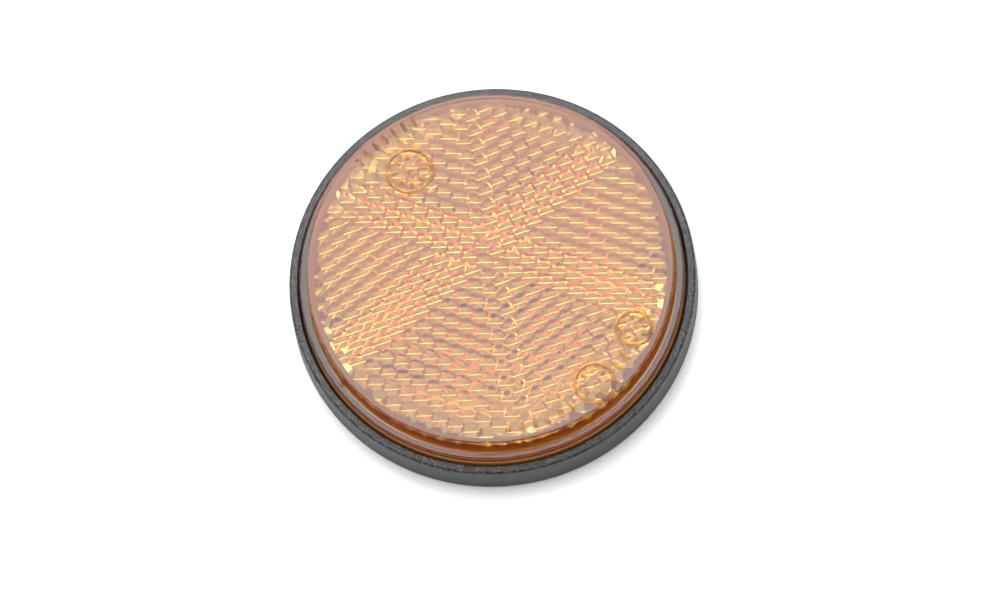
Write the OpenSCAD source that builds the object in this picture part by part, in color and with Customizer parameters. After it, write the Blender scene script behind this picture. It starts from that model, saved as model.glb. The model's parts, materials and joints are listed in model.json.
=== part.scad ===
// Round stick-on reflector for a mudguard. An amber lens stands proud of a black tray. The back
// of the lens is a field of corner cube pins in six sectors, a pale disc lies behind them, and
// the tray is stuck down with a disc of foam. The origin is the middle of the back, and +Z is
// the way the lens faces.

/* [Housing] */
// Diameter of the tray at its back
housing_d = 60; // [50:0.5:90]
// Height of the tray from its back to the top of its rim
housing_h = 5.7; // [5:0.1:9]
// How far the side wall leans in between the back and the rim
side_draft = 0.4; // [0.1:0.05:0.8]
// Width of the rim's top
rim_w = 1.25; // [1:0.05:2.5]
// Rounding of the rim's outer edge
rim_round = 0.5; // [0.2:0.05:0.9]
// Rounding of the small edges of the tray
tray_edge = 0.2; // [0.1:0.05:0.3]
// Thickness of the tray's floor
floor_t = 2; // [1.6:0.1:2.6]
// Thickness of the low ring that centres the lens on the floor
locator_t = 1; // [0.8:0.1:2]
// Height of that ring above the floor
locator_h = 1.2; // [0.6:0.1:1.6]

/* [Lens] */
// Gap between the lens and the tray, all round
lens_gap = 0.2; // [0.1:0.05:0.4]
// How far the lens face stands above the rim
lens_rise = 5.3; // [4.4:0.1:8]
// Height of the face disc above the step round its foot
face_h = 3.5; // [3.2:0.1:4.2]
// Width of that step
step_w = 1.15; // [0.8:0.05:2.5]
// How far each outer wall of the lens leans in towards its top
lens_draft = 0.3; // [0.1:0.05:0.5]
// Thickness of the lens's walls
lens_wall = 1.3; // [1:0.1:2]
// Rounding of the lens's outer edges
lens_edge = 0.25; // [0.1:0.05:0.4]
// Rounding in the corner between the face disc and the step
foot_round = 0.2; // [0.1:0.05:0.4]
// Width of the stub that the mould's gate leaves on the step
gate_w = 0.9; // [0.5:0.1:2]
// Height of that stub
gate_h = 0.4; // [0.2:0.1:1]
// Where the stub is, as an angle round the lens
gate_angle = 208; // [0:1:359]

/* [Corner cubes] */
// Distance between neighbouring pins, across the flats of their hexagons
pin_pitch = 2.34; // [2.2:0.02:2.5]
// Thickness of clear plastic above the pins
web_t = 1.1; // [0.8:0.05:1.2]
// Thickness of the pale disc that lies on the tray's floor behind the pins
backing_t = 0.5; // [0.3:0.05:0.8]

/* [Back] */
// Diameter of the foam disc
pad_d = 46; // [30:0.5:46]
// Thickness of the foam disc
pad_t = 0.9; // [0.8:0.05:1.4]
// Depth of the recess for the foam in the tray's back
recess_depth = 0.8; // [0.3:0.05:0.8]
// Gap round the foam in its recess
pad_gap = 0.4; // [0.2:0.05:1]
// Thickness of the film that covers the foam until it is used
liner_t = 0.15; // [0.1:0.01:0.3]

/* [Hidden] */
$fn = 180;
edge_fn = 24;    // facets of a small rounding's circle
overlap = 0.5;   // how far a cutting solid runs past what it cuts
grid = 1e-5;     // points of the pin field are rounded to this, so that neighbours share them

// Levels, from the film's underside up
pad_z = liner_t;
back_z = pad_z + pad_t - recess_depth;
floor_z = back_z + floor_t;
rim_z = back_z + housing_h;
face_z = rim_z + lens_rise;
step_z = face_z - face_h;
under_z = step_z - lens_wall;

// Radii, from the outside in
rim_r = housing_d / 2 - side_draft;
bore_r = rim_r - rim_w;
skirt_r = bore_r - lens_gap;
skirt_in_r = skirt_r - lens_wall;
step_r = skirt_r - lens_draft;
foot_r = step_r - step_w;
face_r = foot_r - lens_draft;
field_r = foot_r - lens_wall;
locator_r = skirt_in_r - lens_gap;
backing_r = locator_r - locator_t - lens_gap;
pad_r = pad_d / 2;

// The pins: a cube on its corner rises by sqrt(2) for each unit away from its tip
pin_slope = sqrt(2);
hex_r = pin_pitch / sqrt(3);
pin_h = pin_slope * hex_r;
tip_z = face_z - web_t - pin_h;
field_reach = field_r + hex_r;   // pins with their middles within this cover the field

function unit(v) = v / norm(v);
function turned(v, angle) =
    [v.x * cos(angle) - v.y * sin(angle), v.x * sin(angle) + v.y * cos(angle)];

// A closed outline with each corner rounded to its own radius. A corner is cut back to the
// centre of its rounding, and a disc there is added if it points out or removed if it points in.
module rounded_outline(points, radii) {
    n = len(points);
    corner = [for (i = [0:n - 1]) let (
        p = points[i],
        back = unit(points[(i + n - 1) % n] - p),
        ahead = unit(points[(i + 1) % n] - p),
        half_sin = sqrt((1 - back * ahead) / 2),
        half_cos = sqrt((1 + back * ahead) / 2),
        r = radii[i]
    ) [
        p + back * r * half_cos / half_sin,
        r > 0 ? p + unit(back + ahead) * r / half_sin : p,
        p + ahead * r * half_cos / half_sin,
        r,
        cross(-back, ahead) > 0
    ]];
    difference() {
        polygon([for (c = corner) each c[3] > 0 ? [c[0], c[1], c[2]] : [c[1]]]);
        for (c = corner) if (c[3] > 0 && !c[4]) translate(c[1]) circle(r = c[3], $fn = edge_fn);
    }
    for (c = corner) if (c[3] > 0 && c[4]) translate(c[1]) circle(r = c[3], $fn = edge_fn);
}

// The pins stand on one lattice, with a hexagon corner on the middle of the field. A pin is a
// hexagon of three square faces, each of which climbs from the pin's tip to one of its high
// corners. Corner k lies at k * 60 degrees, and side k runs from corner k to corner k + 1.
function middles() = [
    for (i = [-ceil(field_reach / hex_r):ceil(field_reach / hex_r)],
         j = [-ceil(field_reach / pin_pitch):ceil(field_reach / pin_pitch)])
    let (m = [hex_r * (1 + 1.5 * i), (j + (i % 2) / 2) * pin_pitch])
    if (within(m)) m
];
function within(m) = norm(m) < field_reach;
function neighbour(m, side) = m + turned([pin_pitch, 0], side * 60 + 30);

// In every second sector, 60 degrees wide, the pins are turned so that the odd corners are high
function odd_sector(m) = abs(round(atan2(m.y, m.x) / 60)) % 2;
function height(m, k) = (k + odd_sector(m)) % 2 == 0 ? pin_h : pin_h / 2;
function corner_of(m, k) = placed(m + turned([hex_r, 0], k * 60), height(m, k));

// Where two sectors meet, the edges of neighbouring pins cross half way along their side, and a
// small upright wall on either half joins them
function crossed(m, side) = let (n = neighbour(m, side))
    within(n) && odd_sector(n) != odd_sector(m);
function crossing(m, side) = placed((m + neighbour(m, side)) / 2, pin_h * 3 / 4);

function square_face(m, high) = concat(
    [corner_of(m, high + 5)],
    crossed(m, high + 5) ? [crossing(m, high + 5)] : [],
    [corner_of(m, high)],
    crossed(m, high) ? [crossing(m, high)] : [],
    [corner_of(m, high + 1), placed(m, 0)]
);
function wall(m, side, k) = let (
    foot = corner_of(m, k),
    other = [foot.x, foot.y, snapped(pin_h * 3 / 2 - foot.z)]
) k == side ? [crossing(m, side), foot, other] : [crossing(m, side), other, foot];

// The hollow under the pins: a block whose top is the pin field, with its tips at z = 0, and whose
// flat bottom is at the given depth below them
module pin_mould(depth) {
    field = middles();
    tops = [for (m = field, high = [odd_sector(m):2:5]) square_face(m, high)];
    walls = [for (m = field, side = [0:5]) if (odd_sector(m) == 1 && crossed(m, side))
        each [wall(m, side, side), wall(m, side, side + 1)]];
    edges = [for (m = field, side = [0:5]) if (!within(neighbour(m, side)))
        [corner_of(m, side), corner_of(m, side + 1)]];
    sides = [for (e = edges) side_of_mould(e[0], e[1], -depth)];
    bases = [for (e = edges) [placed(e[1], -depth), placed(e[0], -depth), [0, 0, -depth]]];
    closed_surface(concat(tops, walls, sides, bases));
}

// A high corner has a second point at half its height, where a low neighbour's corner may be
function side_of_mould(a, b, low) =
    concat([placed(a, low), placed(b, low)], half_way(b), [b, a], half_way(a));
function half_way(p) = p.z > pin_h * 3 / 4 ? [placed(p, pin_h / 2)] : [];
function placed(p, z) = [snapped(p.x), snapped(p.y), snapped(z)];
function snapped(x) = round(x / grid) * grid;

// A solid whose faces are given as lists of points, seen from outside in clockwise order. Each
// face can be cut into triangles that all meet at the last point of its list
module closed_surface(faces) {
    starts = [for (i = 0, n = 0; i < len(faces); n = n + len(faces[i]), i = i + 1) n];
    polyhedron(
        points = [for (f = faces) each f],
        faces = [for (i = [0:len(faces) - 1])
            [for (k = [len(faces[i]) - 1:-1:0]) starts[i] + k]]
    );
}

// One amber moulding: face disc, step, skirt, and the pins under the face
module lens() {
    color("orange") difference() {
        union() {
            rotate_extrude() rounded_outline(
                [[0, under_z], [skirt_in_r, under_z], [skirt_in_r, floor_z], [skirt_r, floor_z],
                 [step_r, step_z], [foot_r, step_z], [face_r, face_z], [0, face_z]],
                [0, 0, 0, 0, lens_edge, foot_round, lens_edge, 0]);
            rotate([0, 0, gate_angle])
                translate([foot_r - lens_draft, -gate_w / 2, step_z - lens_edge])
                    cube([step_w / 2 + lens_draft, gate_w, gate_h + lens_edge]);
        }
        intersection() {
            translate([0, 0, under_z - overlap]) cylinder(r = field_r, h = face_z - under_z);
            translate([0, 0, tip_z]) pin_mould(tip_z - under_z + 2 * overlap);
        }
    }
}

// The black tray: a rim with a rounded edge, a leaning side wall, a floor with the ring that
// centres the lens, and a shallow recess for the foam in the back
module housing() {
    recess_r = pad_r + pad_gap;
    recess_z = back_z + recess_depth;
    color([0.13, 0.13, 0.14]) rotate_extrude() rounded_outline(
        [[0, recess_z], [recess_r, recess_z], [recess_r, back_z], [housing_d / 2, back_z],
         [rim_r, rim_z], [bore_r, rim_z], [bore_r, floor_z], [locator_r, floor_z],
         [locator_r, floor_z + locator_h], [locator_r - locator_t, floor_z + locator_h],
         [locator_r - locator_t, floor_z], [0, floor_z]],
        [0, 0, 0, tray_edge, rim_round, tray_edge, 0, 0, tray_edge, tray_edge, 0, 0]);
}

// The pale disc behind the pins, which lies on the floor inside the locating ring
module backing_disc() {
    color([0.9, 0.9, 0.88]) translate([0, 0, floor_z]) cylinder(r = backing_r, h = backing_t);
}

// The disc of double-sided foam that sticks the tray down
module adhesive_pad() {
    color([0.92, 0.92, 0.9]) translate([0, 0, pad_z]) cylinder(r = pad_r, h = pad_t);
}

// The film over the foam, which is peeled off before the reflector is fixed
module release_liner() {
    color([0.85, 0.87, 0.9]) cylinder(r = pad_r, h = liner_t);
}

lens();
housing();
backing_disc();
adhesive_pad();
release_liner();
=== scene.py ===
# %% [markdown]
# # A round amber reflector for a mudguard
#
# The object is a disc 60 mm across that is stuck to a bicycle's mudguard. A clear amber lens stands
# proud of a black tray. The back of the lens is moulded as hundreds of corner cube pins, which send
# a car's light back to the car, and the light and dark pattern that one sees is made by those pins.
# In this lesson nothing of that pattern is painted. The pins are modelled, the lens is filled with a
# coloured glass, and the renderer works out where the light goes.
#
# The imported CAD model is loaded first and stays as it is. Its sizes hold for everything below.

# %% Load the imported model
import json
import math

import bpy
import numpy as np
from mathutils import Matrix, Vector

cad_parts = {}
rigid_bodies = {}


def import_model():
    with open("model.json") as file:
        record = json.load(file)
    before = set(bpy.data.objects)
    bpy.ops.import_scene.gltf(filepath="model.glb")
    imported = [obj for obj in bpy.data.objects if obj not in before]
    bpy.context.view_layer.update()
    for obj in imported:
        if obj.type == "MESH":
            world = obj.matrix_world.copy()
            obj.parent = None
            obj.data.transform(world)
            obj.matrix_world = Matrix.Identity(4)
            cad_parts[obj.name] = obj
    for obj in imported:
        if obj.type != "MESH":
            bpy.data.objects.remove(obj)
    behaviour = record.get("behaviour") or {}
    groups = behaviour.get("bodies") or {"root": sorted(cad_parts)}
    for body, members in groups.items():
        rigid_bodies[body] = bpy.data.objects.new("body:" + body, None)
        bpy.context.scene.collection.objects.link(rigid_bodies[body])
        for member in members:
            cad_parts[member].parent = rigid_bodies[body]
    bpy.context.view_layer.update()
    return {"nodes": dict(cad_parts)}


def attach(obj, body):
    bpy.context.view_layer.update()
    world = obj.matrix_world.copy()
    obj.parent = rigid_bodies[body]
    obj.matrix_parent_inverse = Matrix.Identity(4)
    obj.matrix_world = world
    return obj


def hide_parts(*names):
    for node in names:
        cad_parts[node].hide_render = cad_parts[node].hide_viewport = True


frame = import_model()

# %% [markdown]
# ## The sizes
#
# The CAD source works in millimetres, so the pieces here are worked out in millimetres too, and each
# mesh is turned to metres when it is finished. The levels and radii below are the ones of the CAD
# source.

# %% Levels and radii in millimetres
back_z, floor_z, rim_z, step_z, face_z = 0.25, 2.25, 5.95, 7.75, 11.25
under_z = 6.45                 # underside of the lens's step
pad_z, recess_z = 0.15, 1.05   # underside of the foam, and the bottom of its recess
side_r, rim_r, bore_r = 30.0, 29.6, 28.35   # the tray outside at its foot and at its rim, and inside
skirt_r, skirt_in_r = 28.15, 26.85
step_r, foot_r, face_r, field_r = 27.85, 26.7, 26.4, 25.4
locator_r, locator_in_r, locator_top_z = 26.65, 25.65, 3.45
pad_r, recess_r = 23.0, 23.4
mark_h = 0.2                   # height of the raised marks on the face
plain_z = face_z - mark_h      # the face itself is that much lower, so that the marks fit in the box

# %% [markdown]
# ## Putting arrays into meshes
#
# Every new piece is a surface worked out with numpy as whole arrays. One helper puts them all into
# meshes. It takes the corners of all the faces as one long list, and makes corners that lie on
# the same spot one vertex, so the result is a closed mesh and no doubles have to be merged later.

# %% A mesh from a list of corners
spots_per_mm = 1e4


def polygons(name, corners, counts):
    """A mesh whose faces are given by their corners, one after another, and by the number of corners
    of each face. Corners within a ten-thousandth of a millimetre of each other become one vertex."""
    _, first, vertex = np.unique(np.round(corners * spots_per_mm).astype(np.int64), axis=0,
                                 return_index=True, return_inverse=True)
    mesh = bpy.data.meshes.new(name)
    mesh.vertices.add(len(first))
    mesh.vertices.foreach_set("co", corners[first].astype(np.float32).ravel())
    mesh.loops.add(len(corners))
    mesh.loops.foreach_set("vertex_index", vertex.astype(np.int32).ravel())
    mesh.polygons.add(len(counts))
    starts = np.cumsum(counts) - counts
    mesh.polygons.foreach_set("loop_start", starts.astype(np.int32))
    mesh.update(calc_edges=True)
    mesh.validate()
    piece = bpy.data.objects.new(name, mesh)
    bpy.context.scene.collection.objects.link(piece)
    return piece


# %% [markdown]
# Nearly every piece here is round, as it comes from a lathe or from a tool that was turned. So the
# next helper carries a profile round the axis. A Screw modifier could do that too, but it would leave
# the closing of the two ends to another step.

# %% A turned shape
def turned(name, profile, steps=256, ring=False):
    """The profile's point (r, z) goes to (r cos t, r sin t, z) for each of the steps of t. The profile
    runs anticlockwise, with the solid on its left, so that faces look outwards. Its two ends
    are closed by flat discs, unless it is a ring, whose last point joins its first."""
    profile = np.asarray(profile, float)
    t = np.arange(steps + 1) % steps * 2 * np.pi / steps
    r, z = profile[:, :1], profile[:, 1:]
    grid = np.stack([r * np.cos(t), r * np.sin(t), z + 0 * t], -1)
    if ring:
        grid = np.concatenate([grid, grid[:1]])
    quads = np.stack([grid[:-1, :-1], grid[:-1, 1:], grid[1:, 1:], grid[1:, :-1]], 2).reshape(-1, 3)
    if ring:
        return polygons(name, quads, np.full(len(quads) // 4, 4))
    corners = np.concatenate([quads, grid[0, -2::-1], grid[-1, :-1]])
    return polygons(name, corners, np.append(np.full(len(quads) // 4, 4), [steps, steps]))


# %% [markdown]
# A moulding has no sharp edges outside, because the tool's own corners are round. A Bevel modifier
# would round all edges alike. Here each corner of a profile gets a radius of its own, and the
# rounding is worked out before the profile is turned.

# %% A profile with rounded corners
def rounded(corners, arc_points=13):
    """An outline whose corners are given as (r, z, radius). A corner between the directions back and
    ahead is replaced by an arc. Its centre lies along their sum, at the radius divided by the sine of
    half the angle between them, and it is drawn by sweeping evenly from one touching point to the
    other. The first and the last corner stay as they are."""
    corners = np.array(corners, float)
    points, radii = corners[:, :2], corners[:, 2]
    u = np.linspace(0, 1, arc_points)[:, None]
    out = [points[:1]]
    for before, here, after, radius in zip(points[:-2], points[1:-1], points[2:], radii[1:-1]):
        if radius == 0:
            out.append(here[None])
            continue
        back = (before - here) / np.linalg.norm(before - here)
        ahead = (after - here) / np.linalg.norm(after - here)
        half = math.acos(np.clip(back @ ahead, -1, 1)) / 2
        middle = here + (back + ahead) / np.linalg.norm(back + ahead) * radius / math.sin(half)
        reach = radius / math.tan(half)
        first, last = here + back * reach - middle, here + ahead * reach - middle
        sweep = math.pi - 2 * half
        arc = (np.sin((1 - u) * sweep) * first + np.sin(u * sweep) * last) / math.sin(sweep)
        out.append(middle + arc)
    out.append(points[-1:])
    return np.concatenate(out)


# %% [markdown]
# ## The camera
#
# The photograph was taken from steeply above, about 71 degrees, with a long lens, and the camera was
# rolled a little. The numbers come from fitting the circles of the rim and of the lens face to the
# picture. The shift puts the object where it is in the frame.

# %% Camera
camera_elevation, camera_azimuth, camera_roll = np.radians([71.3, -89.35, -10.7])
camera_distance = 0.380        # metres
sensor_w = 36                  # millimetres
picture_w, picture_h = 1000, 591
focal_px = 2578                # focal length in pixels of the picture
origin_px = (494.15, 289.3)    # where the object's origin falls in the picture

toward = Vector((math.cos(camera_elevation) * math.cos(camera_azimuth),
                 math.cos(camera_elevation) * math.sin(camera_azimuth),
                 math.sin(camera_elevation)))
camera = bpy.data.objects.new("camera", bpy.data.cameras.new("camera"))
bpy.context.scene.collection.objects.link(camera)
bpy.context.scene.camera = camera
level = toward.to_track_quat("Z", "Y").to_matrix()
camera.matrix_world = Matrix.Translation(toward * camera_distance) @ (
    level @ Matrix.Rotation(camera_roll, 3, "Z")).to_4x4()
camera.data.sensor_width = sensor_w
camera.data.lens = focal_px / picture_w * sensor_w
camera.data.shift_x = (picture_w / 2 - origin_px[0]) / picture_w
camera.data.shift_y = (origin_px[1] - picture_h / 2) / picture_w
camera.data.clip_start = 0.01
print("camera at", [round(c, 3) for c in camera.location], "m, focal length", round(camera.data.lens, 1))

# %% [markdown]
# ## The body of the lens
#
# The lens is one injection moulding: a flat face disc on a short wall, a step round its foot, and a
# skirt that stands in the tray. All of it is round, so it is turned from one profile. Its visible
# edges are rounded by a quarter of a millimetre, as the mould's are, and it is these small roundings
# that catch the bright lines round a plastic lens.

# %% Lens body
edge_round, step_round = 0.25, 0.2   # on the outer edges, and in the corner between wall and step
cap_in = 1.0                         # a profile starts and ends this far in on its flat closing disc

lens = turned("lens_moulding", rounded([
    (skirt_in_r - cap_in, under_z, 0), (skirt_in_r, under_z, 0), (skirt_in_r, floor_z, 0),
    (skirt_r, floor_z, 0), (step_r, step_z, edge_round), (foot_r, step_z, step_round),
    (face_r, plain_z, edge_round), (face_r - cap_in, plain_z, 0)]))
print("lens body:", len(lens.data.polygons), "faces")

# %% [markdown]
# ## The corner cube pins
#
# A corner cube is the corner of a box: three square faces that meet at right angles. Light that
# enters it leaves by the way it came. On the lens's back these corners stand side by side as hexagons
# 2.34 mm across their flats. Seen along the axis a pin is a hexagon cut into three rhombi: its tip is
# the lowest point, three of its corners are high and the three between them are half as high.
#
# All pins lie on one lattice, but in every second of six sectors they are turned by 60 degrees,
# so that the reflector also works for light from the side. Where two sectors meet, the edges
# of neighbouring pins cross in the middle of their common side, and small upright walls join them.
#
# One could place one pin hundreds of times, but then the walls between the sectors and the closed
# underside would still be missing. Here the field is worked out as a whole: an array of pin centres
# times an array of six corners gives every point at once.

# %% The lattice of pins
pin_pitch = 2.34
hex_r = pin_pitch / math.sqrt(3)          # from a pin's middle to a corner of its hexagon
pin_h = math.sqrt(2) * hex_r              # a cube on its corner rises by root 2 for each unit outwards
web_t = 1.1                               # clear plastic above the pins
tip_z = face_z - web_t - pin_h
field_reach = field_r + hex_r             # pins with their middles within this cover the field
sector = 60                               # degrees
spare_rows = 3                            # columns lie closer than rows, so a few more are needed

count = math.ceil(field_reach / pin_pitch) + spare_rows
column, row = np.mgrid[-count:count + 1, -count:count + 1]
middle = np.stack([hex_r * (1 + 1.5 * column), (row + column % 2 / 2) * pin_pitch], -1).reshape(-1, 2)
middle = middle[np.hypot(*middle.T) < field_reach]
turn = np.round(np.degrees(np.arctan2(middle[:, 1], middle[:, 0])) / sector).astype(int) % 2
print(len(middle), "pins, turned:", int(turn.sum()), "tips at", round(tip_z, 3), "mm")

# %% [markdown]
# A pin has six corners, and their heights alternate. Where the sectors meet, a corner is high for one
# pin and half high for its neighbour, so the upright walls need points at both heights. All of them
# are made for every corner here, and the next steps pick the ones they need.

# %% Corners, walls and tips
k = np.arange(6)                          # corner k lies at k * 60 degrees, side k runs on to corner k + 1
spoke = np.stack([np.cos(k * np.pi / 3), np.sin(k * np.pi / 3)], -1) * hex_r
halfway = (spoke + np.roll(spoke, -1, 0)) / 2


def at_height(xy, z):
    """Points in space from points in the plane and their heights."""
    return np.concatenate([xy, np.broadcast_to(z, xy.shape[:-1])[..., None]], -1)


is_high = (k + turn[:, None]) % 2 == 0
corner = at_height(middle[:, None] + spoke, np.where(is_high, pin_h, pin_h / 2))
foot = at_height(middle[:, None] + spoke, pin_h / 2)
peak = at_height(middle[:, None] + spoke, pin_h)
crossing = at_height(middle[:, None] + halfway, 0.75 * pin_h)   # halfway from a foot to a peak
tip = at_height(middle, 0.0)
print("corners:", is_high.size, "of which high:", int(is_high.sum()))

# %% [markdown]
# Each pin has to know its neighbours. The neighbour on side k has its middle at twice the way to that
# side's middle, and it is found by its distance to all the pins, as one table of numbers.

# %% Neighbours
same_spot = 1e-6
wanted = middle[:, None] + 2 * halfway
apart = np.linalg.norm(wanted[:, :, None] - middle[None, None], axis=-1)
has_neighbour = apart.min(-1) < same_spot
crossed = has_neighbour & (turn[apart.argmin(-1)] != turn[:, None])
print("sides where two sectors meet:", int(crossed.sum()) // 2)

# %% [markdown]
# Now the faces. A pin's square face runs from the tip to a half-high corner, a high corner, and the
# next half-high corner, with the crossing points between where a side is crossed. All of a pin's
# possible points are stacked, and the ones that a face doesn't need are left out by a mask.

# %% Square faces of the pins
pin = np.arange(len(middle))[:, None]
high = np.arange(0, 6, 2) + turn[:, None]
low_before, low_after = (high - 1) % 6, (high + 1) % 6
top = np.stack([np.broadcast_to(tip[:, None], (len(middle), 3, 3)), corner[pin, low_before],
                crossing[pin, low_before], corner[pin, high % 6], crossing[pin, high % 6],
                corner[pin, low_after]], 2)
top_used = np.ones(top.shape[:3], bool)
top_used[..., 2], top_used[..., 4] = crossed[pin, low_before], crossed[pin, high % 6]
print("square faces:", top_used.shape[0] * top_used.shape[1])

# %% [markdown]
# Where two sectors meet, two edges cross like the blades of scissors, and the two triangles between
# them are open. A small upright wall closes each. A turned pin's even corners are low, so there the
# wall stands above its edge. Elsewhere it stands below it, and its corners run the other way round.

# %% Upright walls between the sectors
met, side = np.nonzero(crossed & (turn[:, None] == 1))
after = (side + 1) % 6
wall = np.concatenate([np.stack([foot[met, side], peak[met, side], crossing[met, side]], 1),
                       np.stack([foot[met, after], peak[met, after], crossing[met, side]], 1)])
flip = np.concatenate([side, side]) % 2 == 1
wall[flip] = wall[flip, ::-1]
print("upright walls:", len(wall))

# %% [markdown]
# The faces so far are an open sheet, and a boolean needs a closed solid. So the outermost sides
# go straight down to a flat bottom. The result is like the steel mould that shapes the lens's back.
# Its outer faces use the same kind of mask as the pins.

# %% The closed mould
mould_z = under_z - tip_z - 1.0           # the mould's flat bottom, below the lens's step
edge, side = np.nonzero(~has_neighbour)
after = (side + 1) % 6
sunk = np.array([1, 1, 0])
bottom = np.array([0, 0, mould_z])
outer = np.stack([corner[edge, side] * sunk + bottom, corner[edge, after] * sunk + bottom,
                  foot[edge, after], corner[edge, after], corner[edge, side], foot[edge, side]], 1)
outer_used = np.ones(outer.shape[:2], bool)
outer_used[:, 2], outer_used[:, 5] = is_high[edge, after], is_high[edge, side]
base = np.stack([outer[:, 1], outer[:, 0], np.broadcast_to(bottom, outer[:, 0].shape)], 1)

mould = polygons("mould", np.concatenate([top[top_used], wall.reshape(-1, 3), outer[outer_used],
                                          base.reshape(-1, 3)]),
                 np.concatenate([top_used.sum(-1).ravel(), np.full(len(wall), 3),
                                 outer_used.sum(-1), np.full(len(base), 3)]))
print("mould:", len(mould.data.polygons), "faces", len(mould.data.edges), "edges")

# %% [markdown]
# The edges of real pins are never sharp, because the tool's pins are lapped and polished. Their
# rounding is a few hundredths of a millimetre wide, and it draws the thin light lines that run across
# the pattern. The three ridges that meet at a pin's tip are rounded most. The sides, where pins stand
# against each other in the tool, are rounded less. So each edge gets a weight for the Bevel modifier,
# which is worked out from the heights of its two ends.

# %% Weights of the edges
def edge_ends(mesh):
    """The two ends of every edge, as an array of edges by ends by coordinates."""
    ends = np.zeros(len(mesh.edges) * 2, np.int32)
    mesh.edges.foreach_get("vertices", ends)
    place = np.zeros(len(mesh.vertices) * 3, np.float32)
    mesh.vertices.foreach_get("co", place)
    return place.reshape(-1, 3)[ends.reshape(-1, 2)]


ridge_w, side_share = 0.045, 0.15
end_z = edge_ends(mould.data)[..., 2]
is_ridge = np.abs(end_z).min(1) < 0.001   # a ridge has an end at a tip, whose height is 0
is_pin = end_z.min(1) > -0.1              # the edges of the mould's outside reach further down
weight = np.where(is_ridge, 1.0, side_share) * is_pin
mould.data.attributes.new("bevel_weight_edge", "FLOAT", "EDGE")
mould.data.attributes["bevel_weight_edge"].data.foreach_set("value", weight.astype(np.float32))
print("ridges:", int((weight == 1).sum()), "sides:", int((weight == side_share).sum()))

# %% [markdown]
# A modifier or a boolean is finished at once here, so that the next step works on a plain mesh. The
# manifold solver is quick and wants closed meshes, and all the meshes that it gets here are closed.

# %% Helpers that finish a modifier and a boolean
def applied(piece, kind, **settings):
    """Adds one modifier with its settings, applies it, and gives the piece back."""
    modifier = piece.modifiers.new(kind.title(), kind)
    for key, value in settings.items():
        setattr(modifier, key, value)
    depsgraph = bpy.context.evaluated_depsgraph_get()
    mesh = bpy.data.meshes.new_from_object(piece.evaluated_get(depsgraph))
    piece.modifiers.clear()
    piece.data = mesh
    return piece


def combined(piece, other, operation):
    """A boolean of two closed meshes. The other one is used up."""
    applied(piece, "BOOLEAN", operation=operation, object=other, solver="MANIFOLD")
    bpy.data.objects.remove(other)
    print(piece.name, operation, "->", len(piece.data.polygons), "faces")
    return piece


# %% [markdown]
# The Bevel modifier rounds the whole mould at once. Then a disc cuts the field to its round outline.
# The disc is turned by half a degree: with one of its edges exactly on a ridge, the boolean
# would leave faces without any volume between them.

# %% Round the edges and cut the field to a disc
applied(mould, "BEVEL", width=ridge_w, segments=4, limit_method="WEIGHT", affect="EDGES")
mould.data.transform(Matrix.Translation((0, 0, tip_z)))
disc = turned("field_disc", [(field_r, under_z - 0.5), (field_r, plain_z)])
disc.data.transform(Matrix.Rotation(math.radians(0.5), 4, "Z"))
combined(mould, disc, "INTERSECT")

# %% [markdown]
# ## Raised marks on the face
#
# The face carries small raised marks: plain dials with ticks, rows of bars and dots, raised by a
# fifth of a millimetre, as a mould shop puts them on a part to read the mould's state from. One could
# draw them as a bump, but a bump has no side that catches the light, so they are solids.
#
# A bar, a tick and a dot are all one shape, a stadium: the points within half a width of a short line.
# Its outline is the line's nearer end plus half a width times the direction cos u, sin u, and towards
# the top the outline moves in along a quarter circle. A dot's line has no length.

# %% The stadium, and places on a circle
def stadiums(name, place, heading, length, width, low, high, steps=32, levels=6):
    """Closed stadium solids from arrays of places, headings in degrees, lengths and widths. For the
    angle u round the outline and the level v the point is
    end(u) + (width / 2 - inset(v)) (cos u, sin u), turned by the heading and moved to the place."""
    u = (np.arange(steps) + 0.5) / steps * 2 * np.pi
    v = np.radians(np.linspace(0, 90, levels))
    inset = np.concatenate([[0], mark_h * (1 - np.cos(v))])
    level = np.concatenate([[low], high - mark_h + mark_h * np.sin(v)])
    shape = (len(place), len(level), len(u))
    half, line = width[:, None, None] / 2, (length - width)[:, None, None] / 2
    reach = half - inset[:, None]
    x = np.sign(np.cos(u)) * line + reach * np.cos(u)
    y = np.broadcast_to(reach * np.sin(u), shape)
    a = np.radians(heading)[:, None, None]
    grid = np.stack([place[:, 0, None, None] + x * np.cos(a) - y * np.sin(a),
                     place[:, 1, None, None] + x * np.sin(a) + y * np.cos(a),
                     np.broadcast_to(level[:, None], shape)], -1)
    around = np.roll(grid, -1, 2)
    quads = np.stack([grid[:, :-1], around[:, :-1], around[:, 1:], grid[:, 1:]], 3).reshape(-1, 3)
    caps = np.stack([grid[:, 0, ::-1], grid[:, -1]], 1).reshape(-1, 3)
    return polygons(name, np.concatenate([quads, caps]),
                    np.append(np.full(len(quads) // 4, 4), np.full(2 * len(place), len(u))))


def on_circle(centre, radius, degrees):
    """Places at centre + radius (cos a, sin a), for each angle a in degrees."""
    a = np.radians(degrees)
    return np.array(centre) + radius * np.stack([np.cos(a), np.sin(a)], -1)


# %% [markdown]
# Three dials have eight ticks and a dot each, and three rows of bars lie near the edge of the
# face. Each group is a set of places, of headings and one length, and all of them become one mesh.
# The solids reach into the face, so that the union has something to bite on.

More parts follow.
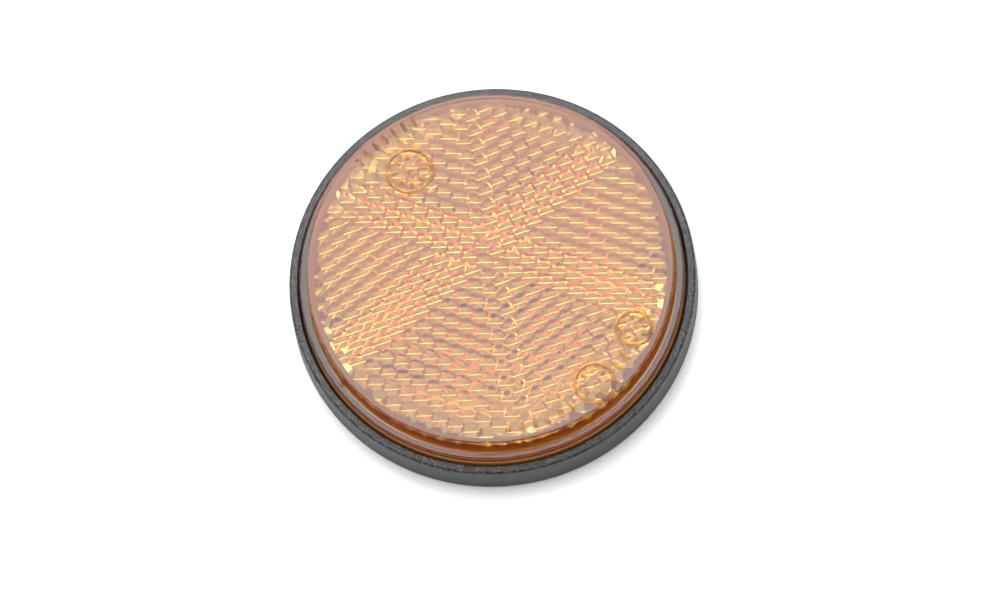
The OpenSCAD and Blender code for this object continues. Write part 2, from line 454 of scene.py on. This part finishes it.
# %% Bars, ticks and dots
stroke, dot_d = 0.5, 0.6             # the width of a raised line, and a dot's diameter
mark_root_z = plain_z - 0.4
dials = [((-9.1, 16.4), 3.3), ((18.6, -13.1), 2.5), ((11.7, -20.1), 2.8)]   # centre and radius
tick_place, tick_share = 0.66, 0.3   # a tick's middle and its length, as shares of the radius
ticks = np.arange(8) * 45.0
rows = [(24.9, np.linspace(107, 130, 7), 1.6), (24.3, np.linspace(-93, -71, 6), 1.5),
        (23.7, np.array([-50.0, -45.5]), 2.0)]   # radius, angles of the bars and their length

groups = [(on_circle(c, r * tick_place, ticks), ticks, r * tick_share) for c, r in dials]
groups += [(np.array([c]), np.array([0.0]), dot_d) for c, _ in dials]
groups += [(on_circle((0, 0), r, angles), angles, size) for r, angles, size in rows]
place = np.concatenate([p for p, _, _ in groups])
heading = np.concatenate([h for _, h, _ in groups])
length = np.concatenate([np.full(len(p), float(size)) for p, _, size in groups])
width = np.where(length == dot_d, dot_d, stroke)
marks = stadiums("marks", place, heading, length, width, mark_root_z, face_z)
print("raised bars and dots:", len(place))

# %% [markdown]
# A dial's ring is a rounded profile that is turned and then moved to its place. Rings and marks are
# joined to the lens one after another.

# %% Rings of the dials
closing = 0.01                       # a ring's outline ends this far from where it starts
for centre, radius in dials:
    out, into = radius + stroke / 2, radius - stroke / 2
    ring = turned("ring", rounded([
        (radius, mark_root_z, 0), (out, mark_root_z, 0), (out, face_z, mark_h),
        (into, face_z, mark_h), (into, mark_root_z, 0), (radius - closing, mark_root_z, 0)]),
        steps=96, ring=True)
    ring.data.transform(Matrix.Translation((*centre, 0)))
    combined(lens, ring, "UNION")
combined(lens, marks, "UNION")

# %% [markdown]
# ## The stub of the gate, and the finished lens
#
# The molten plastic came in at one side, and where the sprue was cut off a small stub is left on the
# step. It is one more stadium. At last the mould is cut out of the lens, and what is left behind is
# the field of pins. The mesh is then turned from millimetres to metres.

# %% Gate stub, pins and the move to metres
def in_metres(piece):
    """Turns a finished piece from millimetres to metres, in its mesh."""
    piece.data.transform(Matrix.Scale(0.001, 4))
    return piece


gate_angle, gate_r, gate_length, gate_w = 208, 27.0, 0.9, 0.6
stub = stadiums("stub", on_circle((0, 0), gate_r, np.array([gate_angle])), np.array([gate_angle + 90]),
                np.array([gate_length]), np.array([gate_w]), step_z - 0.5, step_z + 0.4)
combined(lens, stub, "UNION")
combined(lens, mould, "DIFFERENCE")
in_metres(lens)

# %% [markdown]
# Shading decides whether a lens works. The pins' small faces must stay flat, since shading them
# smoothly would bend the mirrors, and the pins would stop sending the light back. So every edge among
# them that bends by more than 8 degrees is marked sharp. Everywhere else only edges over 30 degrees
# are. Normals weighted by area keep the big flat face flat up to its rounding.

# %% Sharp edges and weighted normals
pin_bend, plain_bend = 8, 30         # degrees


def shaded(piece, pins_r=0.0, pins_top=0.0):
    """Smooth shading with edges over plain_bend sharp, and over pin_bend within the field of pins,
    which is given by its radius and its top in metres."""
    mesh = piece.data
    mesh.shade_smooth()
    sharp = []
    for degrees in (pin_bend, plain_bend):
        mesh.set_sharp_from_angle(angle=math.radians(degrees))
        marked = np.zeros(len(mesh.edges), bool)
        mesh.attributes["sharp_edge"].data.foreach_get("value", marked)
        sharp.append(marked)
    x, y, z = edge_ends(mesh).mean(1).T
    in_field = (np.hypot(x, y) < pins_r) & (z < pins_top)
    mesh.attributes["sharp_edge"].data.foreach_set("value", np.where(in_field, *sharp))
    applied(piece, "TRIANGULATE", min_vertices=5)
    applied(piece, "WEIGHTED_NORMAL", keep_sharp=True)
    faces = sum(len(p.vertices) - 2 for p in piece.data.polygons)
    print(piece.name, "has", faces, "triangles")


spare = 0.05                         # millimetres, so that the field's own border is in it
shaded(lens, pins_r=(field_r + spare) / 1000, pins_top=(tip_z + pin_h + spare) / 1000)

# %% [markdown]
# ## The tray
#
# The tray is one black moulding. Its rim has a rounded outer edge and a fine spark-eroded grain, and
# its side wall is smooth. It is turned from the CAD source's own profile with more points on its
# roundings, because light runs along them. A tiny notch in its bottom edge is where a vent of
# the mould was, and the rim has one small nick at its far side.

# %% Tray
foot_round, rim_round, inner_round = 0.2, 0.5, 0.2
tray = turned("tray_moulding", rounded([
    (recess_r - cap_in, recess_z, 0), (recess_r, recess_z, 0), (recess_r, back_z, 0),
    (side_r, back_z, foot_round), (rim_r, rim_z, rim_round), (bore_r, rim_z, inner_round),
    (bore_r, floor_z, 0), (locator_r, floor_z, 0), (locator_r, locator_top_z, inner_round),
    (locator_in_r, locator_top_z, inner_round), (locator_in_r, floor_z, 0),
    (locator_in_r - cap_in, floor_z, 0)]))

notch = (30.15, -47, 0.35, back_z - 0.3, back_z + 0.45)   # place, azimuth, radius, lowest and highest
nick = (28.8, 68, 0.2, rim_z - 0.15, rim_z + 0.3)
for radius, azimuth, cut_r, low, high in (notch, nick):
    cut = turned("cut", [(cut_r, low), (cut_r, high)], steps=24)
    cut.data.transform(Matrix.Translation((*on_circle((0, 0), radius, np.array([azimuth]))[0], 0)))
    combined(tray, cut, "DIFFERENCE")
in_metres(tray)
shaded(tray)

# %% [markdown]
# ## The foam disc
#
# The foam disc was punched from sheet, so its faces are flat and its edge is a little hollow,
# because the punch squeezed it. It is 0.9 mm thick and fills its recess. The edge is the radius less
# the hollow's depth times (1 - h squared), for h from -1 at the bottom to 1 at the top.

# %% Foam disc
hollow_depth = 0.08
hollow = np.linspace(-1, 1, 9)
foam_t = recess_z - pad_z
foam = turned("foam_disc", np.stack([pad_r - hollow_depth * (1 - hollow ** 2),
                                     pad_z + foam_t * (hollow + 1) / 2], -1), steps=192)
in_metres(foam)
shaded(foam)

# %% [markdown]
# ## What rides on what
#
# The reflector has no joint, so there is one body, and every piece rides on it. Three pieces stand
# for a CAD node. The pale disc and the film over the foam are shown as the CAD source has them.

# %% Bodies and nodes
for piece, node, slot in ((lens, "lens", "amber_acrylic"), (tray, "housing", "black_abs"),
                          (foam, "adhesive_pad", "white_foam")):
    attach(piece, "root")
    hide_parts(node)
    print(piece.name, "stands for", node)

# %% [markdown]
# ## Materials
#
# Colours are written as one reads them off a screen, in hex digits. The renderer works with linear
# values, so one helper turns the first into the second.

# %% A colour in linear values
def linear(hex_colour):
    """An sRGB hex colour as linear red, green, blue and alpha: below 0.04045 a channel is divided by
    12.92, above it is ((c + 0.055) / 1.055) to the power 2.4."""
    c = np.array([int(hex_colour[i:i + 2], 16) for i in (1, 3, 5)]) / 255
    return (*np.where(c < 0.04045, c / 12.92, ((c + 0.055) / 1.055) ** 2.4).tolist(), 1.0)


# %% [markdown]
# Two more helpers do for all the materials. One adds a node with its settings and its links. The
# other starts a material from the Principled shader, with the values that are the same all over.

# %% A node, and a material
def add_node(tree, kind, inputs, **settings):
    """Adds a node, sets its properties and fills its sockets. A socket of another node is linked, and
    anything else is written in as the socket's value."""
    node = tree.nodes.new("ShaderNode" + kind)
    for key, value in settings.items():
        setattr(node, key, value)
    for key, value in inputs.items():
        if isinstance(value, bpy.types.NodeSocket):
            tree.links.new(value, node.inputs[key])
        else:
            node.inputs[key].default_value = value
    return node


def material(name, *pieces, **shader):
    """A new material on the given pieces, with the Principled shader's sockets set by name."""
    made = bpy.data.materials.new(name)
    made.use_nodes = True
    for key, value in shader.items():
        made.node_tree.nodes["Principled BSDF"].inputs[key.replace("_", " ")].default_value = value
    for piece in pieces:
        piece.data.materials.clear()
        piece.data.materials.append(made)
    print(name, "on", [piece.name for piece in pieces])
    return made.node_tree, made.node_tree.nodes["Principled BSDF"].inputs


# %% [markdown]
# **Amber acrylic.** The lens is PMMA with an amber dye, moulded in a polished tool. PMMA bends light
# with an index of 1.49. The colour is in the depth of the plastic, not on its surface, so it is an
# absorption that takes away blue and a good part of the green for each few millimetres of the way.
# That is why the foot of the lens is so much darker than its face. A coloured surface would be
# as bright at the foot as on the face.

# %% Amber acrylic: the dye
tree, shader = material("amber_acrylic_polished", lens, IOR=1.49)
dye = add_node(tree, "VolumeAbsorption", {"Color": linear("#fbe059"), "Density": 600})
tree.links.new(dye.outputs[0], tree.nodes["Material Output"].inputs["Volume"])

# %% [markdown]
# The underside of the step and the skirt can't be seen from outside. The tool is left rough there, and
# a pale sealant fills the gap, so these faces scatter the light back through the plastic. It is
# what makes the foot of the lens glow. A mask by height tells them from the polished ones, and one
# by radius tells the skirt's outside from its inside.

# %% Amber acrylic: the faces in the sealant
spot = add_node(tree, "TexCoord", {}).outputs["Object"]
part = add_node(tree, "SeparateXYZ", {0: spot})
flat = add_node(tree, "CombineXYZ", {"X": part.outputs["X"], "Y": part.outputs["Y"]})
radius = add_node(tree, "VectorMath", {0: flat.outputs[0]}, operation="LENGTH").outputs["Value"]
low = add_node(tree, "MapRange", {
    "Value": part.outputs["Z"], "From Min": (under_z + 0.02) / 1000, "From Max": (under_z + 0.04) / 1000,
    "To Min": 1.0, "To Max": 0.0}).outputs[0]
clear = add_node(tree, "Math", {0: 1.0, 1: low}, operation="SUBTRACT")
outer = add_node(tree, "MapRange", {
    "Value": radius, "From Min": (skirt_in_r - 0.1) / 1000, "From Max": skirt_in_r / 1000}).outputs[0]
pale = add_node(tree, "Mix", {"Factor": outer, "A": linear("#978267"), "B": linear("#f8b26a")},
                data_type="RGBA")
tint = add_node(tree, "Mix", {"Factor": low, "A": linear("#ffffff"), "B": pale.outputs["Result"]},
                data_type="RGBA")
tree.links.new(clear.outputs[0], shader["Transmission Weight"])
tree.links.new(tint.outputs["Result"], shader["Base Color"])

# %% [markdown]
# The raised marks are matt, because they were spark-eroded into the polished tool. The faces in the
# sealant are matt too. One node adds both up: the mask by height times 0.4, plus the marks' own.

# %% Amber acrylic: matt places
raised = add_node(tree, "MapRange", {
    "Value": part.outputs["Z"], "From Min": (plain_z + 0.01) / 1000, "From Max": (plain_z + 0.04) / 1000,
    "To Min": 0.0, "To Max": 0.5}).outputs[0]
matt = add_node(tree, "Math", {0: low, 1: 0.4, 2: raised}, operation="MULTIPLY_ADD")
tree.links.new(matt.outputs[0], shader["Roughness"])

# %% [markdown]
# The wall and the step were turned on the tool's insert, and the turning lines run round them. Real
# ones are hundredths of a millimetre apart, and these are drawn ten times coarser, so that a picture
# can show them. They are a noise in one dimension, the radius less the height, which runs across
# the step and up the wall alike. The flat face has none, so the mask leaves it out.

# %% Amber acrylic: turning lines
turning_mm = 0.2
along = add_node(tree, "Math", {0: radius, 1: part.outputs["Z"]}, operation="SUBTRACT")
lines = add_node(tree, "TexNoise", {"W": along.outputs[0], "Scale": 1000 / turning_mm, "Detail": 1},
                 noise_dimensions="1D")
outside = add_node(tree, "MapRange", {
    "Value": radius, "From Min": (face_r - 0.25) / 1000, "From Max": (face_r - 0.1) / 1000})
turning = add_node(tree, "Bump", {"Height": lines.outputs["Fac"], "Distance": 0.000012,
                                  "Strength": outside.outputs[0]})
tree.links.new(turning.outputs[0], shader["Normal"])

# %% [markdown]
# ** Black ABS.** The tray is black ABS. Its index is 1.54. The rim's grain comes from spark erosion:
# craters about a fifth of a millimetre wide. It is drawn a third of a millimetre wide to show, as a bump,
# and its colour is painted lighter on the hills and darker in the craters, as painted highlight and
# painted shade. It fades out below the rim's rounding, where the side wall is merely satin, with clouds
# some 8 mm wide from the flow of the plastic.

# %% Black ABS
grain_mm, cloud_mm = 1 / 3.2, 25 / 3
tree, shader = material("black_abs_moulded", tray, IOR=1.54)
spot = add_node(tree, "TexCoord", {}).outputs["Object"]
grain = add_node(tree, "TexNoise", {"Vector": spot, "Scale": 1000 / grain_mm, "Detail": 1,
                                    "Roughness": 0.5}).outputs["Fac"]
cloud = add_node(tree, "TexNoise", {"Vector": spot, "Scale": 1000 / cloud_mm, "Detail": 3}).outputs["Fac"]
height = add_node(tree, "SeparateXYZ", {0: spot}).outputs["Z"]
on_rim = add_node(tree, "MapRange", {"Value": height, "From Min": (rim_z - 0.5) / 1000,
                                     "From Max": (rim_z - 0.3) / 1000}).outputs[0]
# painted highlight and painted shade: on the rim the colour is lighter on the grain's hills and darker in
# its craters
grain_painted_light = add_node(tree, "MapRange", {"Value": grain, "From Min": 0.42, "From Max": 0.66}).outputs[0]
shown = add_node(tree, "Mix", {"Factor": on_rim, "A": cloud, "B": grain_painted_light}, data_type="FLOAT")
colour = add_node(tree, "Mix", {"Factor": shown.outputs["Result"], "A": linear("#0d0d0f"),
                                "B": linear("#303032")}, data_type="RGBA")
rough = add_node(tree, "MapRange", {"Value": on_rim, "To Min": 0.55, "To Max": 0.33})
bump = add_node(tree, "Bump", {"Height": grain, "Distance": 0.0002, "Strength": on_rim})
tree.links.new(colour.outputs["Result"], shader["Base Color"])
tree.links.new(rough.outputs[0], shader["Roughness"])
tree.links.new(bump.outputs[0], shader["Normal"])

# %% [markdown]
# **Styrene.** The disc behind the pins is a pale greyish styrene, index 1.59, moulded in a
# bead-blasted tool, so its gloss is uneven, in patches about a millimetre wide.

# %% Styrene
patch_mm = 10 / 9
backing = frame["nodes"]["backing_disc"]
tree, shader = material("pale_styrene_moulded", backing, IOR=1.59)
spot = add_node(tree, "TexCoord", {}).outputs["Object"]
cloud = add_node(tree, "TexNoise", {"Vector": spot, "Scale": 1000 / patch_mm, "Detail": 2}).outputs["Fac"]
colour = add_node(tree, "Mix", {"Factor": cloud, "A": linear("#b6c8c8"), "B": linear("#c1d1d1")},
                  data_type="RGBA")
rough = add_node(tree, "MapRange", {"Value": cloud, "To Min": 0.45, "To Max": 0.65})
tree.links.new(colour.outputs["Result"], shader["Base Color"])
tree.links.new(rough.outputs[0], shader["Roughness"])

# %% [markdown]
# ** Foam.** The foam is closed-cell polyethylene, whose cut cells are a third of a millimetre wide: they
# are small pits with thin walls between. A pattern of cells by their nearest point has that form. The
# pits are painted darker at the bottom than on the walls, as painted shade.

# %% Foam
cell_mm = 1 / 3
tree, shader = material("white_foam_closed_cell", foam, IOR=1.5)
spot = add_node(tree, "TexCoord", {}).outputs["Object"]
cell = add_node(tree, "TexVoronoi", {"Vector": spot, "Scale": 1000 / cell_mm}, feature="F1")
pit = add_node(tree, "MapRange", {"Value": cell.outputs["Distance"], "From Min": 0.1,
                                  "From Max": 0.6}).outputs[0]
# painted shade: the colour is darker at the bottom of each pit than on the walls between
colour = add_node(tree, "Mix", {"Factor": pit, "A": linear("#d3d2ca"), "B": linear("#f0efe9")},
                  data_type="RGBA")
rough = add_node(tree, "MapRange", {"Value": pit, "To Min": 0.95, "To Max": 0.8})
pits = add_node(tree, "Bump", {"Height": pit, "Distance": 0.00006, "Strength": 1.0})
tree.links.new(colour.outputs["Result"], shader["Base Color"])
tree.links.new(rough.outputs[0], shader["Roughness"])
tree.links.new(pits.outputs[0], shader["Normal"])

# %% [markdown]
# **Film.** The film on the foam is waxed, and it has faint creases from the roll that it came on. They
# are about 33 mm long and 4 mm apart, so a Mapping node stretches the noise one way.

# %% Film
creases_per_m = (30, 260, 30)
liner = frame["nodes"]["release_liner"]
tree, shader = material("liner_film_waxed", liner, IOR=1.5)
spot = add_node(tree, "TexCoord", {}).outputs["Object"]
bands = add_node(tree, "Mapping", {"Vector": spot, "Scale": creases_per_m})
crease = add_node(tree, "TexNoise", {"Vector": bands.outputs[0], "Scale": 1, "Detail": 3,
                                     "Distortion": 0.6}).outputs["Fac"]
colour = add_node(tree, "Mix", {"Factor": crease, "A": linear("#d6dfe7"), "B": linear("#e9eef2")},
                  data_type="RGBA")
rough = add_node(tree, "MapRange", {"Value": crease, "To Min": 0.22, "To Max": 0.4})
creases = add_node(tree, "Bump", {"Height": crease, "Distance": 0.0004, "Strength": 0.5})
tree.links.new(colour.outputs["Result"], shader["Base Color"])
tree.links.new(rough.outputs[0], shader["Roughness"])
tree.links.new(creases.outputs[0], shader["Normal"])

# %% [markdown]
# ## Floor
#
# The reflector lies on a white table. One large square does for it, 4 m wide, so that its edge is
# out of the picture from every side.

# %% Floor
floor_half = 2000.0                  # millimetres
floor = polygons("floor", np.array([[-1, -1, 0], [1, -1, 0], [1, 1, 0], [-1, 1, 0]]) * floor_half,
                 np.array([4]))
in_metres(floor)
material("white_table", floor, Base_Color=linear("#f3f3f3"), Roughness=0.9)

# %% [markdown]
# ## Light
#
# The light comes from a large softbox behind and above the reflector, a low one further back, a weak
# bank on each side, and a pale room. The large softbox is mirrored in the face, which is the
# grey veil over the whole lens. The banks light the wall, the step and the tray from both sides.
# An area light's power is its radiance times its area times pi.

# %% Softboxes and room
def softbox(name, azimuth, elevation, distance, width, height, radiance):
    """A rectangular area light that looks at the origin from an azimuth and an elevation in degrees."""
    light = bpy.data.lights.new(name, "AREA")
    light.shape, light.size, light.size_y = "RECTANGLE", width, height
    light.energy = radiance * width * height * math.pi
    lamp = bpy.data.objects.new(name, light)
    bpy.context.scene.collection.objects.link(lamp)
    azimuth, elevation = math.radians(azimuth), math.radians(elevation)
    way = Vector((math.cos(elevation) * math.cos(azimuth), math.cos(elevation) * math.sin(azimuth),
                  math.sin(elevation)))
    lamp.location = way * distance
    lamp.rotation_euler = way.to_track_quat("Z", "Y").to_euler()
    print(name, "gives", round(light.energy, 2), "W")


softbox("key_softbox", azimuth=100, elevation=69, distance=0.8, width=0.65, height=0.7, radiance=5.8)
softbox("left_bank", azimuth=180, elevation=55, distance=0.8, width=0.7, height=0.5, radiance=1.2)
softbox("right_bank", azimuth=0, elevation=55, distance=0.8, width=0.7, height=0.5, radiance=1.2)
softbox("low_back", azimuth=92, elevation=38, distance=0.9, width=0.9, height=0.3, radiance=4.5)
room = bpy.data.worlds.new("room")
bpy.context.scene.world = room
room.use_nodes = True
room.node_tree.nodes["Background"].inputs["Color"].default_value = linear("#ffffff")
room.node_tree.nodes["Background"].inputs["Strength"].default_value = 0.38

# %% [markdown]
# Light takes many turns among the pins before it comes out, so long paths are allowed. A few of them
# are so bright that they would leave sparkles, and those are clamped. The denoiser works from the
# colours alone, because the pins make its helper passes noisy themselves.

# %% Light paths
many_turns, few_turns = 32, 4
scene = bpy.context.scene
scene.view_settings.view_transform = "Standard"
scene.cycles.max_bounces = many_turns
scene.cycles.transmission_bounces = many_turns
scene.cycles.glossy_bounces = many_turns
scene.cycles.diffuse_bounces = few_turns
scene.cycles.caustics_refractive = True
scene.cycles.caustics_reflective = True
scene.cycles.sample_clamp_indirect = 3
scene.cycles.denoising_input_passes = "RGB"
print("light paths of up to", many_turns, "turns")
